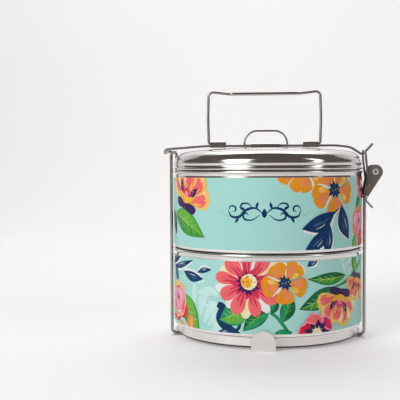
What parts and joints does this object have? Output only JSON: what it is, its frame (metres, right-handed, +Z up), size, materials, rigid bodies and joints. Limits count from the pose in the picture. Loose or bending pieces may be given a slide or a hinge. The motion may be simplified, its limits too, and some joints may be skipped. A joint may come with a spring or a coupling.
{
  "type": "tiffin carrier",
  "caption": "Stacked round steel food carrier with a domed lid, wire frame, hinged top bar, swing handle and side lever latch.",
  "frame": {"origin": "centre of the stack, on the surface it stands on", "axes": "+X towards the lever latch, -Y the front, +Z up"},
  "size_m": [0.1592, 0.1424, 0.1789],
  "materials": {
    "polished_steel": "mirror polished stainless steel",
    "frame_steel": "satin steel wire and sheet",
    "strap_steel": "satin rolled strip",
    "clip_steel": "bright pressed sheet",
    "latch_steel": "dark plated sheet",
    "printed_wrap": "satin lacquer with a flower print"
  },
  "bodies": {
    "frame": {"base_cross": "frame_steel", "left_wire_rail": "frame_steel", "right_wire_rail": "frame_steel"},
    "lower_tier": {"lower_container": "polished_steel", "lower_wrap": "printed_wrap"},
    "upper_tier": {"upper_container": "polished_steel", "upper_wrap": "printed_wrap"},
    "lid": {"lid": "polished_steel", "lid_handle_clip": "clip_steel"},
    "lid_handle": {"lid_handle": "frame_steel"},
    "top_bar": {"top_bar": "strap_steel", "left_handle_clip": "clip_steel", "right_handle_clip": "clip_steel"},
    "carry_handle": {"carry_handle": "frame_steel"},
    "latch_lever": {"latch_lever": "latch_steel", "lever_eyelets": "clip_steel"},
    "latch_link": {"latch_link": "frame_steel"}
  },
  "joints": [
    {"name": "lower_tier_lift", "type": "slide", "parent": "frame", "child": "lower_tier", "axis": [0, 0, 1], "range_m": [0, 0.14]},
    {"name": "upper_tier_lift", "type": "slide", "parent": "lower_tier", "child": "upper_tier", "axis": [0, 0, 1], "range_m": [0, 0.08]},
    {"name": "lid_lift", "type": "slide", "parent": "upper_tier", "child": "lid", "axis": [0, 0, 1], "range_m": [0, 0.06]},
    {"name": "lid_handle_fold", "type": "hinge", "parent": "lid", "child": "lid_handle", "pos_m": [0, 0.009, 0.1389], "axis": [-1, 0, 0], "range_deg": [0, 75]},
    {"name": "top_bar_hinge", "type": "hinge", "parent": "lid", "child": "top_bar", "pos_m": [-0.0732, 0, 0.1342], "axis": [0, -1, 0], "range_deg": [0, 110]},
    {"name": "carry_handle_swing", "type": "hinge", "parent": "top_bar", "child": "carry_handle", "pos_m": [-0.002, 0, 0.14], "axis": [1, 0, 0], "range_deg": [-85, 85]},
    {"name": "lever_swing", "type": "hinge", "parent": "frame", "child": "latch_lever", "pos_m": [0.0711, 0, 0.1012], "axis": [0, 1, 0], "range_deg": [0, 38]},
    {"name": "link_swing", "type": "hinge", "parent": "latch_lever", "child": "latch_link", "pos_m": [0.0733, 0, 0.1086], "axis": [0, 1, 0], "range_deg": [0, 100]}
  ]
}
